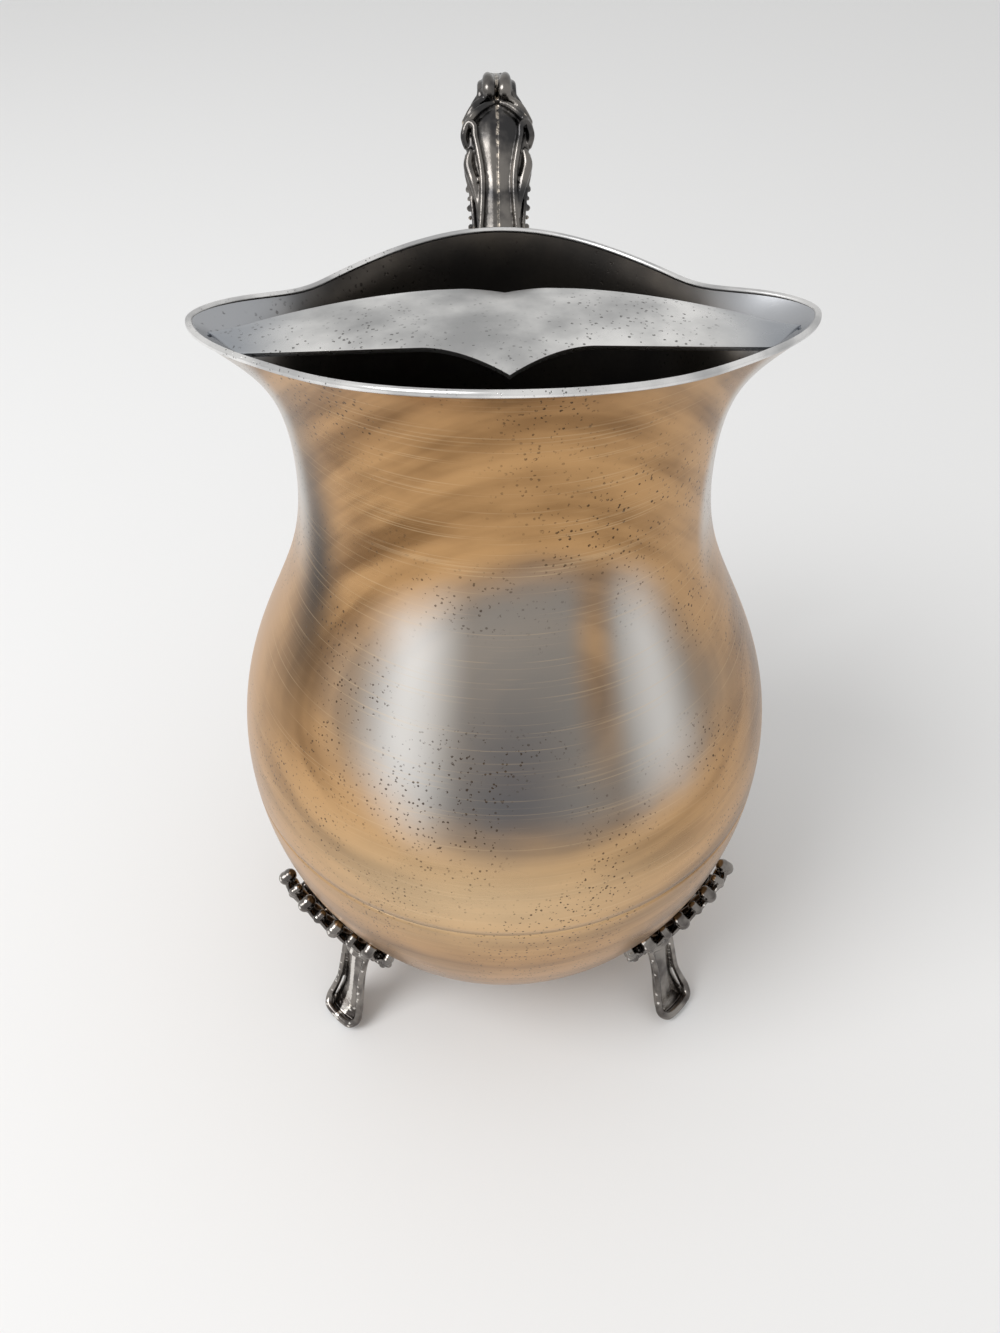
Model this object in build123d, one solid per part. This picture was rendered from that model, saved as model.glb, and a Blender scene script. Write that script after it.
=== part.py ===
from build123d import *
import os
from math import cos, exp, pi, radians, sin

# All sizes are in millimetres. Heights are above the floor, radii are from the axis of the body,
# and azimuths run from the spout (0 degrees) over the wing (about 86) to the handle (180).

# Sheet metal and fits
wall = 1.2
seat_gap = 0.15

# Bowl: a flat bottom, a full belly and a narrow neck
base_radius = 30.0
base_height = 13.0
base_fullness = 28.0
belly_radius = 76.0
belly_height = 85.0
belly_drop = 35.0
belly_rise = 44.0
neck_radius = 49.3
neck_height = 183.0
neck_drop = 44.0

# Mouth: the rim dips behind the wings and rises to the lip and to the back
lip_reach = 56.6
lip_height = 223.6
side_reach = 51.8
wing_reach = 66.8
wing_height = 213.2
wing_azimuth = 86.0
wing_front_spread = 21.5
wing_back_spread = 13.5
wing_sharpness = 1.7
dip_azimuth = 124.0
dip_height = 207.2
back_reach = 50.2
back_height = 210.8
neck_rise = 20.0
flare_start = 8.0
flare_per_mm = 4.4
flare_limit = 78.0
flare_hold = 0.42
flare_hold_least = 6.0
front_stations = 14
back_stations = 15

# Bead along the rim
bead_radius = 1.05

# Ice guard: an arched plate across the mouth, bow shaped in plan
guard_thickness = 1.0
guard_crest = 218.6
guard_end_height = 214.2
guard_half_length = 61.5
guard_point_reach = 38.6
guard_front_reach = 26.6
guard_front_corner = 53.5
guard_corner_reach = 22.5
guard_rear_reach = 1.8
guard_rear_notch = 3.4
guard_tip_reach = 11.0
guard_trim_width = 20.0

# Handle: a cast scroll in two halves, soldered along the middle
handle_reach = 118.0
handle_top = 239.7
handle_root_height = 199.0
handle_foot_height = 99.0
handle_half_width = 8.1
handle_depth = 4.6
thumb_lobe_radius = 2.7
thumb_lobe_offset = 1.8
thumb_lobe_reach = 75.0
thumb_lobe_drop = 4.2

# Feet: four, half way between the spout, the wings and the handle
foot_azimuth = 45.0
foot_turns = {
    "foot_front_right": foot_azimuth,
    "foot_rear_right": 180 - foot_azimuth,
    "foot_rear_left": 180 + foot_azimuth,
    "foot_front_left": -foot_azimuth,
}
leg_reach = 66.5
leg_top_height = 29.0
leg_half_width = 4.5
leg_thickness = 4.4
toe_reach = 79.5
toe_half_width = 6.4
toe_thickness = 4.4
sole_depth = 0.5
hollow_width_share = 0.66
hollow_depth_share = 0.38
hollow_shift_share = 0.55
petal_count = 7
petal_radius = 3.3
petal_root_radius = 2.6
petal_tip_length = 2.0
petal_stand_off = 1.6
leaf_half_angle = 15.5
leaf_height = 55.0
leaf_side_height = 46.0


def at(azimuth, radius, height):
    """A point of the part from its azimuth, radius and height."""
    turn = radians(azimuth)
    return Vector(radius * sin(turn), -radius * cos(turn), height)


def ease(share):
    """A smooth step from 0 to 1."""
    share = min(max(share, 0.0), 1.0)
    return (1 - cos(pi * share)) / 2


def rim_reach(azimuth):
    """The radius of the rim: nearly round, with a wing drawn out to the side."""
    if azimuth < wing_azimuth:
        round_part = lip_reach + (side_reach - lip_reach) * ease(azimuth / wing_azimuth)
        spread = wing_front_spread
    else:
        share = (azimuth - wing_azimuth) / (180 - wing_azimuth)
        round_part = side_reach + (back_reach - side_reach) * ease(share)
        spread = wing_back_spread
    wing = exp(-((abs(azimuth - wing_azimuth) / spread) ** wing_sharpness))
    return round_part + (wing_reach - side_reach) * wing


def rim_height(azimuth):
    """The height of the rim, from the lip down to the wing and the dip, and up again at the back."""
    if azimuth < wing_azimuth:
        return lip_height + (wing_height - lip_height) * ease(azimuth / wing_azimuth)
    if azimuth < dip_azimuth:
        share = (azimuth - wing_azimuth) / (dip_azimuth - wing_azimuth)
        return wing_height + (dip_height - wing_height) * ease(share)
    share = (azimuth - dip_azimuth) / (180 - dip_azimuth)
    return dip_height + (back_height - dip_height) * ease(share)


def flare_angle(azimuth):
    """How far the wall leans out at the rim, in degrees from upright."""
    flare = rim_reach(azimuth) - neck_radius
    return flare_limit * (1 - exp(-(flare_start + flare_per_mm * flare) / flare_limit))


def mouth_poles(azimuth, inset):
    """The four poles of the wall's curve from the neck to the rim, moved inwards by inset."""
    lean = radians(flare_angle(azimuth))
    reach, top = rim_reach(azimuth), rim_height(azimuth)
    hold = flare_hold * (reach - neck_radius) + flare_hold_least
    end = (reach - inset * cos(lean), top + inset * sin(lean))
    before_end = (end[0] - hold * sin(lean), end[1] - hold * cos(lean))
    start = (neck_radius - inset, neck_height)
    after_start = (neck_radius - inset, neck_height + neck_rise)
    return [start, after_start, before_end, end]


def shoulder_poles(inset):
    """The four poles of the wall's curve from the belly to the neck."""
    return [
        (belly_radius - inset, belly_height),
        (belly_radius - inset, belly_height + belly_rise),
        (neck_radius - inset, neck_height - neck_drop),
        (neck_radius - inset, neck_height),
    ]


def bowl_poles(inset):
    """The four poles of the wall's curve from the flat bottom to the belly."""
    return [
        (base_radius, base_height + inset),
        (base_radius + base_fullness, base_height + inset),
        (belly_radius - inset, belly_height - belly_drop),
        (belly_radius - inset, belly_height),
    ]


def curve(poles, azimuth):
    return Edge.make_bezier(*[at(azimuth, r, z) for r, z in poles])


def wall_section(azimuth):
    """The wall of the upper body in one radial plane, as a closed wire."""
    outer = [curve(shoulder_poles(0), azimuth), curve(mouth_poles(azimuth, 0), azimuth)]
    inner = [curve(shoulder_poles(wall), azimuth), curve(mouth_poles(azimuth, wall), azimuth)]
    seam = Edge.make_line(outer[0] @ 0, inner[0] @ 0)
    rim = Edge.make_line(outer[1] @ 1, inner[1] @ 1)
    return Wire([*outer, *inner, seam, rim])


def half_turn(section):
    """A solid lofted through the section from the spout round to the handle, and its mirror image."""
    front = [wing_azimuth * i / front_stations for i in range(front_stations)]
    turn_left = 180 - wing_azimuth
    back = [wing_azimuth + turn_left * i / back_stations for i in range(back_stations + 1)]
    half = Solid.make_loft([section(a) for a in front + back])
    return half.fuse(half.mirror(Plane.YZ)).clean()


def body_upper():
    return half_turn(wall_section)


def bowl_lower():
    """The spun bowl below the seam at the belly."""
    outer = curve(bowl_poles(0), 90)
    inner = curve(bowl_poles(wall), 90)
    axis_low, axis_high = Vector(0, 0, base_height), Vector(0, 0, base_height + wall)
    profile = Wire([
        Edge.make_line(axis_low, outer @ 0),
        outer,
        Edge.make_line(outer @ 1, inner @ 1),
        inner,
        Edge.make_line(inner @ 0, axis_high),
        Edge.make_line(axis_high, axis_low),
    ])
    return Solid.revolve(Face(profile), 360, Axis.Z)


def bead_section(azimuth):
    """A half round bead that sits on the end of the wall."""
    lean = radians(flare_angle(azimuth))
    outer_end = mouth_poles(azimuth, 0)[3]
    inner_end = mouth_poles(azimuth, wall)[3]
    along = (sin(lean), cos(lean))
    across = (cos(lean), -sin(lean))
    middle = [(a + b) / 2 + seat_gap * d for a, b, d in zip(outer_end, inner_end, along)]
    side_a = [m + bead_radius * c for m, c in zip(middle, across)]
    side_b = [m - bead_radius * c for m, c in zip(middle, across)]
    crown = [m + bead_radius * d for m, d in zip(middle, along)]
    arc = Edge.make_three_point_arc(*[at(azimuth, *p) for p in (side_a, crown, side_b)])
    return Wire([arc, Edge.make_line(at(azimuth, *side_b), at(azimuth, *side_a))])


def rim_wire():
    return half_turn(bead_section)


def envelope(grow):
    """The body filled in and grown outwards, to trim what is soldered to its outside."""
    back = mouth_poles(180, -grow)
    edges = [curve(p, 90) for p in (bowl_poles(-grow), shoulder_poles(-grow), back)]
    low, high = Vector(0, 0, base_height - grow), Vector(0, 0, back[3][1])
    edges += [
        Edge.make_line(low, edges[0] @ 0),
        Edge.make_line(edges[2] @ 1, high),
        Edge.make_line(high, low),
    ]
    return Solid.revolve(Face(Wire(edges)), 360, Axis.Z)


def wing_trim_section(azimuth):
    """The wall of the mouth grown inwards by the seat gap, and far outwards."""
    inner = mouth_poles(azimuth, wall + seat_gap)
    far = [(reach + guard_trim_width, height) for reach, height in (inner[0], inner[3])]
    corners = [at(azimuth, *p) for p in (inner[0], far[0], far[1], inner[3])]
    sides = [Edge.make_line(a, b) for a, b in zip(corners, corners[1:])]
    return Wire([curve(inner, azimuth), *sides])


def guard_outline():
    """The bow shaped outline of the guard, seen from above."""
    point = (0, -guard_point_reach)
    bay = (guard_half_length * 0.3, -guard_front_reach)
    corner = (guard_front_corner, -guard_corner_reach)
    tip = (guard_half_length, -guard_tip_reach)
    rear = (guard_half_length * 0.25, -guard_rear_reach)
    notch = (0, -guard_rear_notch)
    front = Edge.make_spline([point, bay, corner], [(0.75, 0.6), (1, 0.3)])
    side = Edge.make_line(corner, tip)
    back = Edge.make_spline([tip, rear, notch], [(-1, 0.12), (-1, -0.35)])
    right = [front, side, back]
    return Face(Wire(right + [edge.mirror(Plane.YZ) for edge in right]))


def guard_arch():
    """A curved band as thick as the guard, wider and deeper than its outline."""
    def arc(drop):
        return Edge.make_three_point_arc(
            (-guard_half_length, 0, guard_end_height - drop),
            (0, 0, guard_crest - drop),
            (guard_half_length, 0, guard_end_height - drop),
        )
    top, under = arc(0), arc(guard_thickness)
    ends = [Edge.make_line(top @ i, under @ i) for i in (0, 1)]
    band = Face(Wire([top, under, *ends]))
    return Solid.extrude(band, Vector(0, -2 * guard_point_reach, 0))


def ice_guard():
    plate = Solid.extrude(guard_outline(), Vector(0, 0, 2 * lip_height))
    wings = half_turn(wing_trim_section)
    pieces = (plate & guard_arch() - wings).solids()
    return max(pieces, key=lambda s: s.volume)


def handle_stations():
    """Where the handle runs: reach behind the axis, height, and its width and depth as shares."""
    back = handle_reach - handle_depth
    top = handle_top - handle_depth * 0.8
    return [
        (neck_radius - 4, handle_root_height - 3, 1.0, 0.9),
        (neck_radius + 5.5, handle_root_height + 7, 1.0, 1.0),
        (neck_radius + 11.2, top - 20.5, 1.03, 1.0),
        (neck_radius + 17.7, top - 10.5, 1.1, 1.0),
        (neck_radius + 24.2, top - 3.5, 0.78, 0.9),
        (neck_radius + 32.7, top, 0.56, 0.8),
        (back - 20, top - 3.4, 0.6, 0.8),
        (back - 9, top - 12.5, 0.75, 0.9),
        (back - 3, top - 28, 0.9, 0.95),
        (back, top - 52, 0.95, 1.0),
        (back - 2.5, top - 78, 0.9, 1.0),
        (back - 12, top - 103, 0.8, 0.9),
        (back - 24.5, top - 121, 0.7, 0.8),
        (belly_radius + 4, handle_foot_height + 4, 0.8, 0.8),
        (belly_radius - 7, handle_foot_height - 2, 0.9, 0.9),
    ]


def handle_path():
    return Edge.make_spline([Vector(0, y, z) for y, z, _, _ in handle_stations()])


def handle_section(path, station):
    """Half of an oval across the path, closed by a straight line on the seam."""
    y, z, wide, deep = station
    middle = Vector(0, y, z)
    along = path % path.param_at_point(middle)
    across = Vector(0, -along.Z, along.Y)
    half_width = handle_half_width * wide
    depth = handle_depth * deep
    front, back = middle + across * depth, middle - across * depth
    side = middle + Vector(half_width, 0, 0)
    top = Edge.make_spline([front, side, back], [Vector(1, 0, 0), Vector(-1, 0, 0)])
    return Wire([top, Edge.make_line(back, front)])


def thumb_lobe():
    """One of the two round ends of the leaf that curls forward on top of the handle."""
    middle = (thumb_lobe_offset, thumb_lobe_reach, handle_top - thumb_lobe_drop)
    lobe = Solid.make_sphere(thumb_lobe_radius, Plane(middle))
    size = 4 * thumb_lobe_radius
    corner = Plane((-size, thumb_lobe_reach - size / 2, middle[2] - size / 2))
    return lobe - Solid.make_box(size, size, size, corner)


def handle_half():
    """The right half of the handle, trimmed where it is soldered to the body."""
    path = handle_path()
    bar = Solid.make_loft([handle_section(path, s) for s in handle_stations()])
    return bar.fuse(thumb_lobe()) - envelope(seat_gap)


def bowl_point(angle, height, stand_off):
    """A point outside the bowl at an angle from the middle of a foot, by bisection on the curve."""
    poles = bowl_poles(0)
    low, high = 0.0, 1.0
    for _ in range(30):
        t = (low + high) / 2
        weights = ((1 - t) ** 3, 3 * t * (1 - t) ** 2, 3 * t * t * (1 - t), t ** 3)
        if sum(w * p[1] for w, p in zip(weights, poles)) < height:
            low = t
        else:
            high = t
    return at(angle, sum(w * p[0] for w, p in zip(weights, poles)) + stand_off, height)


def petal(root, tip):
    """A tapered petal with a blunt end."""
    run = tip - root
    body = Solid.make_cone(petal_root_radius, petal_radius, run.length, Plane(root, z_dir=run))
    cap = Solid.make_cone(petal_radius, petal_radius / 2, petal_tip_length, Plane(tip, z_dir=run))
    return body.fuse(cap)


def leaf():
    """A palmette of petals that spread over the bowl from the top of the leg."""
    root = Vector(0, -leg_reach, leg_top_height)
    knot = Solid.make_sphere(leg_half_width, Plane(root))
    petals = []
    for i in range(petal_count):
        share = 2 * i / (petal_count - 1) - 1
        height = leaf_height - (leaf_height - leaf_side_height) * share ** 2
        petals.append(petal(root, bowl_point(share * leaf_half_angle, height, petal_stand_off)))
    return knot.fuse(*petals)


def leg_stations():
    """Reach, height, half width and thickness of the leg, from the leaf down to the toe."""
    return [
        (leg_reach, leg_top_height, leg_half_width + 0.8, leg_thickness + 0.6),
        (leg_reach + 2, leg_top_height - 9, leg_half_width, leg_thickness + 0.2),
        (leg_reach + 3.5, leg_top_height - 17, leg_half_width, leg_thickness),
        (leg_reach + 6.5, toe_thickness + 0.8, toe_half_width - 0.6, toe_thickness),
        (toe_reach - 3.2, toe_thickness / 2 - sole_depth, toe_half_width, toe_thickness),
        (toe_reach, toe_thickness / 2, toe_half_width - 2.6, toe_thickness - 1.6),
    ]


def leg():
    """The leg and its spoon shaped toe, flat underneath and hollowed along the front."""
    stations = leg_stations()
    path = Edge.make_spline([Vector(0, -r, z) for r, z, _, _ in stations])
    outer, hollow = [], []
    for reach, height, half_width, thickness in stations:
        middle = Vector(0, -reach, height)
        along = path % path.param_at_point(middle)
        across = Vector(0, along.Z, -along.Y)
        plane = Plane(middle, x_dir=Vector(1, 0, 0), z_dir=along)
        outer.append(Wire.make_ellipse(half_width, thickness / 2, plane))
        groove = middle - across * thickness * hollow_shift_share
        plane = Plane(groove, x_dir=Vector(1, 0, 0), z_dir=along)
        size = (half_width * hollow_width_share, thickness * hollow_depth_share)
        hollow.append(Wire.make_ellipse(*size, plane))
    solid = Solid.make_loft(outer) - Solid.make_loft(hollow[:-1])
    corner = Plane((-toe_reach, -2 * toe_reach, -toe_reach))
    floor = Solid.make_box(2 * toe_reach, 2 * toe_reach, toe_reach, corner)
    return solid - floor


def foot():
    """A leaf and leg cast in one, trimmed to the bowl, standing towards the spout."""
    return leaf().fuse(leg()) - envelope(seat_gap)


def export(name, shape):
    """Write one piece, moved so that the middle of the whole pitcher is over the origin."""
    os.makedirs("parts", exist_ok=True)
    middle = (belly_radius - handle_reach) / 2
    export_step(shape.moved(Location((0, middle, 0))), f"parts/{name}.step")


if __name__ == "__main__":
    export("body_upper", body_upper())
    export("bowl_lower", bowl_lower())
    export("rim_wire", rim_wire())
    export("ice_guard", ice_guard())
    right = handle_half()
    export("handle_half_right", right)
    export("handle_half_left", right.mirror(Plane.YZ))
    front_foot = foot()
    for name, turn in foot_turns.items():
        export(name, front_foot.rotate(Axis.Z, turn))
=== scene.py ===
import bpy
import bmesh
from bisect import bisect_left
from math import atan2, cos, degrees, exp, hypot, pi, radians, sin
from mathutils import Matrix, Vector


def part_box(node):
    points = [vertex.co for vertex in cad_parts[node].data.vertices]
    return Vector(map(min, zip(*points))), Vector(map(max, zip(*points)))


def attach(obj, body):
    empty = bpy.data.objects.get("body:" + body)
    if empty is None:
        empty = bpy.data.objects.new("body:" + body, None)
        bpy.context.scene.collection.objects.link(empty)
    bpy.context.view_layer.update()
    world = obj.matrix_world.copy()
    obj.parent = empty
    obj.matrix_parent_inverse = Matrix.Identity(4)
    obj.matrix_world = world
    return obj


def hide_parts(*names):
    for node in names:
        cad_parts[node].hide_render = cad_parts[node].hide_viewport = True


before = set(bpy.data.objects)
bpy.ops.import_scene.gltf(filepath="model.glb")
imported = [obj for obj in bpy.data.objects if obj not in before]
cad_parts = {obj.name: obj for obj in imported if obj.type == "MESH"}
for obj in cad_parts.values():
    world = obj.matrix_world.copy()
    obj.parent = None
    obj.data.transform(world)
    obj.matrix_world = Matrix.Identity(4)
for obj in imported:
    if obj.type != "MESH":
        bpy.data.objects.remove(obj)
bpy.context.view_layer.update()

# Water pitcher in worn silver plate. Sizes below are millimetres, the meshes are metres.
mm = 0.001
joinWithin = 0.00001  # metres: points closer than this are one
root = "root"
bowlLow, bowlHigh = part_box("bowl_lower")
axisY = (bowlLow.y + bowlHigh.y) / 2 / mm  # the body's axis, from the frame
scene = bpy.context.scene


def linked(name, data):
    made = bpy.data.objects.new(name, data)
    scene.collection.objects.link(made)
    return made


def openMesh(piece):
    bm = bmesh.new()
    bm.from_mesh(piece.data)
    return bm


def storeMesh(bm, piece):
    # back into the piece, with its faces outwards
    bmesh.ops.recalc_face_normals(bm, faces=bm.faces)
    bm.to_mesh(piece.data)
    bm.free()


def addPiece(name, verts, faces):
    mesh = bpy.data.meshes.new(name)
    mesh.from_pydata([Vector(v) * mm for v in verts], [], faces)
    mesh.polygons.foreach_set("use_smooth", [True] * len(mesh.polygons))
    mesh.update()
    return linked(name, mesh)


def settle(piece, materials, nodes):
    # ride, replace and slot in one place
    piece.data.materials.clear()
    for material in materials:
        piece.data.materials.append(material)
    piece.data.polygons.foreach_set("use_smooth", [True] * len(piece.data.polygons))
    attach(piece, root)
    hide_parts(*nodes)
    print("settled", piece.name, len(piece.data.polygons), "faces")


def ease(share):
    share = min(max(share, 0.0), 1.0)
    return (1 - cos(pi * share)) / 2


# Body: a full belly, a narrow neck and a mouth drawn out into two wings
bodySizes = {
    "wall": 1.2, "baseRadius": 30.0, "baseHeight": 13.0, "baseFullness": 28.0,
    "bellyRadius": 76.0, "bellyHeight": 85.0, "bellyDrop": 35.0, "bellyRise": 44.0,
    "neckRadius": 49.3, "neckHeight": 183.0, "neckDrop": 44.0, "neckRise": 20.0,
    "turns": 288, "rings": 56, "floorRings": 8, "seatRings": 80, "seamCut": 0.16,
}
mouthSizes = {
    "lipReach": 56.6, "lipHeight": 223.6, "sideReach": 51.8, "wingReach": 66.8,
    "wingHeight": 213.2, "wingAzimuth": 86.0, "frontSpread": 21.5, "backSpread": 13.5,
    "dipAzimuth": 124.0, "dipHeight": 207.2, "backReach": 50.2, "backHeight": 210.8,
    "flareStart": 8.0, "flarePerMm": 4.4, "flareLimit": 78.0, "flareHold": 0.42,
    "flareHoldLeast": 6.0, "wingSharpness": 1.7,
}


def rimReach(azimuth):
    m = mouthSizes
    if azimuth < m["wingAzimuth"]:
        plain = m["lipReach"] + (m["sideReach"] - m["lipReach"]) * ease(azimuth / m["wingAzimuth"])
        spread = m["frontSpread"]
    else:
        share = (azimuth - m["wingAzimuth"]) / (180 - m["wingAzimuth"])
        plain = m["sideReach"] + (m["backReach"] - m["sideReach"]) * ease(share)
        spread = m["backSpread"]
    wing = exp(-((abs(azimuth - m["wingAzimuth"]) / spread) ** m["wingSharpness"]))
    return plain + (m["wingReach"] - m["sideReach"]) * wing


def rimHeight(azimuth):
    m = mouthSizes
    if azimuth < m["wingAzimuth"]:
        return m["lipHeight"] + (m["wingHeight"] - m["lipHeight"]) * ease(azimuth / m["wingAzimuth"])
    if azimuth < m["dipAzimuth"]:
        share = (azimuth - m["wingAzimuth"]) / (m["dipAzimuth"] - m["wingAzimuth"])
        return m["wingHeight"] + (m["dipHeight"] - m["wingHeight"]) * ease(share)
    share = (azimuth - m["dipAzimuth"]) / (180 - m["dipAzimuth"])
    return m["dipHeight"] + (m["backHeight"] - m["dipHeight"]) * ease(share)


def flareLean(azimuth):
    m = mouthSizes
    flare = rimReach(azimuth) - bodySizes["neckRadius"]
    wanted = m["flareStart"] + m["flarePerMm"] * flare
    return radians(m["flareLimit"] * (1 - exp(-wanted / m["flareLimit"])))


def mouthPoles(azimuth, inset):
    b, lean = bodySizes, flareLean(azimuth)
    reach, top = rimReach(azimuth), rimHeight(azimuth)
    hold = mouthSizes["flareHold"] * (reach - b["neckRadius"]) + mouthSizes["flareHoldLeast"]
    end = (reach - inset * cos(lean), top + inset * sin(lean))
    start = (b["neckRadius"] - inset, b["neckHeight"])
    return [start, (start[0], start[1] + b["neckRise"]),
            (end[0] - hold * sin(lean), end[1] - hold * cos(lean)), end]


def shoulderPoles(inset):
    b = bodySizes
    belly, neck = b["bellyRadius"] - inset, b["neckRadius"] - inset
    return [(belly, b["bellyHeight"]), (belly, b["bellyHeight"] + b["bellyRise"]),
            (neck, b["neckHeight"] - b["neckDrop"]), (neck, b["neckHeight"])]


def bowlPoles(inset):
    b = bodySizes
    belly, low = b["bellyRadius"] - inset, b["baseHeight"] + inset
    return [(b["baseRadius"], low), (b["baseRadius"] + b["baseFullness"], low),
            (belly, b["bellyHeight"] - b["bellyDrop"]), (belly, b["bellyHeight"])]


def bezier(poles, t):
    weights = ((1 - t) ** 3, 3 * t * (1 - t) ** 2, 3 * t * t * (1 - t), t ** 3)
    return tuple(sum(w * p[i] for w, p in zip(weights, poles)) for i in (0, 1))


def alongPoles(poles, rings):
    return [bezier(poles, i / rings) for i in range(rings + 1)]


def folded(turn):
    # azimuth of a turn, the same on both sides
    turn = turn % 360
    return 360 - turn if turn > 180 else turn


def around(turn, radius, height):
    return (radius * sin(radians(turn)), axisY - radius * cos(radians(turn)), height)


def turnedShell(name, profile):
    # profile(azimuth) gives the section of the wall as a closed run of points, outer side first
    turns = bodySizes["turns"]
    columns = [profile(folded(360 * i / turns)) for i in range(turns)]
    count = len(columns[0])
    verts = [around(360 * i / turns, *p) for i, column in enumerate(columns) for p in column]
    faces = []
    for i in range(turns):
        a, b = i * count, (i + 1) % turns * count
        for j in range(count):
            k = (j + 1) % count
            faces.append((a + j, b + j, b + k, a + k))
    piece = addPiece(name, verts, faces)
    bm = openMesh(piece)
    bmesh.ops.remove_doubles(bm, verts=bm.verts, dist=joinWithin)
    storeMesh(bm, piece)
    return piece


def upperProfile(azimuth):
    rings, seamCut, wall = (bodySizes[key] for key in ("rings", "seamCut", "wall"))
    outer, inner = [alongPoles(shoulderPoles(inset), rings)
                    + alongPoles(mouthPoles(azimuth, inset), rings)[1:] for inset in (0, wall)]
    r, z = outer[0]
    outer = [(r - seamCut, z), (r, z + seamCut)] + outer[1:]
    return outer + inner[::-1]


def lowerProfile(azimuth):
    b = bodySizes
    outer, inner = [alongPoles(bowlPoles(inset), b["rings"]) for inset in (0, b["wall"])]
    r, z = outer[-1]
    outer = outer[:-1] + [(r, z - b["seamCut"]), (r - b["seamCut"], z)]
    radii = [b["baseRadius"] * i / b["floorRings"] for i in range(b["floorRings"])]
    floor, top = [[(radius, b["baseHeight"] + inset) for radius in radii] for inset in (0, b["wall"])]
    return floor + outer + inner[::-1] + top[::-1]


def closeOnAxis(piece):
    # the faces between the two poles of the bowl go, the poles stay shut
    bm, noArea = openMesh(piece), 1e-12
    bad = [f for f in bm.faces if f.calc_area() < noArea]
    bmesh.ops.delete(bm, geom=bad, context="FACES")
    storeMesh(bm, piece)


bodyUpper = turnedShell("bodyUpper", upperProfile)
bowlLower = turnedShell("bowlLower", lowerProfile)
closeOnAxis(bowlLower)
print("body made")


def wingSurface(x, y):
    # height of the inside of the mouth at a point in plan, or None outside the wall
    azimuth, r = degrees(atan2(abs(x), -(y - axisY))), hypot(x, y - axisY)
    poles = mouthPoles(azimuth, bodySizes["wall"])
    if r > poles[3][0]:
        return poles[3][1]
    if r < poles[0][0]:
        return None
    low, high = 0.0, 1.0
    for _ in range(24):  # halved until the place is close enough
        middle = (low + high) / 2
        if bezier(poles, middle)[0] < r:
            low = middle
        else:
            high = middle
    return bezier(poles, high)[1]


# Rim bead: a curve on the end of the wall, given its round section by Geometry Nodes
rimSizes = {"radius": 0.78, "stations": 360, "sides": 14, "standOff": 0.08}


def rimPoint(turn):
    azimuth = folded(turn)
    lean = flareLean(azimuth)
    outer, inner = mouthPoles(azimuth, 0)[3], mouthPoles(azimuth, bodySizes["wall"])[3]
    radius = (outer[0] + inner[0]) / 2 + rimSizes["standOff"] * sin(lean)
    height = (outer[1] + inner[1]) / 2 + rimSizes["standOff"] * cos(lean)
    return Vector(around(turn, radius, height)) * mm


def beadTree(material):
    # Radius, Sides -> a bead swept along the curve
    tree = bpy.data.node_groups.new("beadAlongRim", "GeometryNodeTree")
    tree.interface.new_socket("Geometry", in_out="INPUT", socket_type="NodeSocketGeometry")
    for label, kind, value in (("Radius", "NodeSocketFloat", rimSizes["radius"] * mm),
                               ("Sides", "NodeSocketInt", rimSizes["sides"])):
        tree.interface.new_socket(label, in_out="INPUT", socket_type=kind).default_value = value
    tree.interface.new_socket("Geometry", in_out="OUTPUT", socket_type="NodeSocketGeometry")
    nodes, links = tree.nodes, tree.links
    given, result = nodes.new("NodeGroupInput"), nodes.new("NodeGroupOutput")
    circle, swept = nodes.new("GeometryNodeCurvePrimitiveCircle"), nodes.new("GeometryNodeCurveToMesh")
    smooth, real = nodes.new("GeometryNodeSetShadeSmooth"), nodes.new("GeometryNodeRealizeInstances")
    paint = nodes.new("GeometryNodeSetMaterial")
    paint.inputs["Material"].default_value = material
    links.new(given.outputs["Radius"], circle.inputs["Radius"])
    links.new(given.outputs["Sides"], circle.inputs["Resolution"])
    links.new(given.outputs["Geometry"], swept.inputs["Curve"])
    links.new(circle.outputs["Curve"], swept.inputs["Profile Curve"])
    links.new(swept.outputs["Mesh"], smooth.inputs["Geometry"])
    links.new(smooth.outputs["Geometry"], real.inputs["Geometry"])
    links.new(real.outputs["Geometry"], paint.inputs["Geometry"])
    links.new(paint.outputs["Geometry"], result.inputs["Geometry"])
    return tree


def curveObject(name, points, cyclic):
    data = bpy.data.curves.new(name, "CURVE")
    data.dimensions = "3D"
    line = data.splines.new("POLY")
    line.points.add(len(points) - 1)
    for p, q in zip(line.points, points):
        p.co = (*q, 1)
    line.use_cyclic_u = cyclic
    return linked(name, data)


def baked(name, source):
    # the evaluated mesh of an object with a modifier, as a plain object
    graph = bpy.context.evaluated_depsgraph_get()
    mesh = bpy.data.meshes.new_from_object(source.evaluated_get(graph))
    mesh.name = name
    made = linked(name, mesh)
    bpy.data.objects.remove(source)
    return made


def makeRim(material):
    turns = rimSizes["stations"]
    line = curveObject("rimLine", [rimPoint(360 * i / turns) for i in range(turns)], True)
    modifier = line.modifiers.new("bead", "NODES")
    modifier.node_group = beadTree(material)
    for item in modifier.node_group.interface.items_tree:
        if item.name == "Radius":
            modifier[item.identifier] = rimSizes["radius"] * mm
    bead = baked("rimBead", line)
    storeMesh(openMesh(bead), bead)
    return bead


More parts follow.
